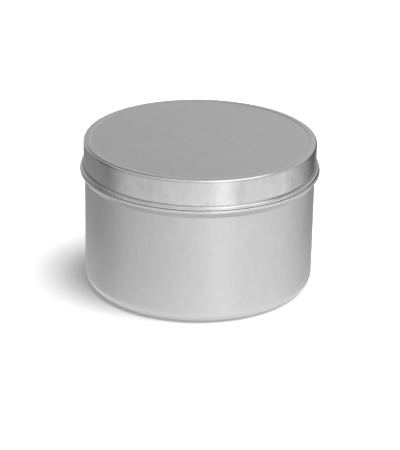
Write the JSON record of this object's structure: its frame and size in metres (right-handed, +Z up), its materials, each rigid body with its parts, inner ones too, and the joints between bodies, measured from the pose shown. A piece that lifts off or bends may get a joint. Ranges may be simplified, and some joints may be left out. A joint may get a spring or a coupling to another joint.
{
  "type": "candle tin",
  "caption": "Round tinplate candle tin: a drawn can with a stacking bead and a slip lid with a recessed panel and a curled edge.",
  "frame": {"origin": "centre of the foot ring, on the surface that the tin stands on", "axes": "+Z up, along the tin's axis and the lid's way off; +X and +Y are alike on a round tin"},
  "size_m": [0.0794, 0.0794, 0.0498],
  "materials": {
    "can_tinplate": "satin",
    "lid_tinplate": "bright satin"
  },
  "bodies": {
    "tin_body": {"tin_body": "can_tinplate"},
    "lid": {"lid": "lid_tinplate"}
  },
  "joints": [
    {"name": "lid_lift", "type": "slide", "parent": "tin_body", "child": "lid", "axis": [0, 0, 1], "range_m": [0, 0.06]}
  ]
}
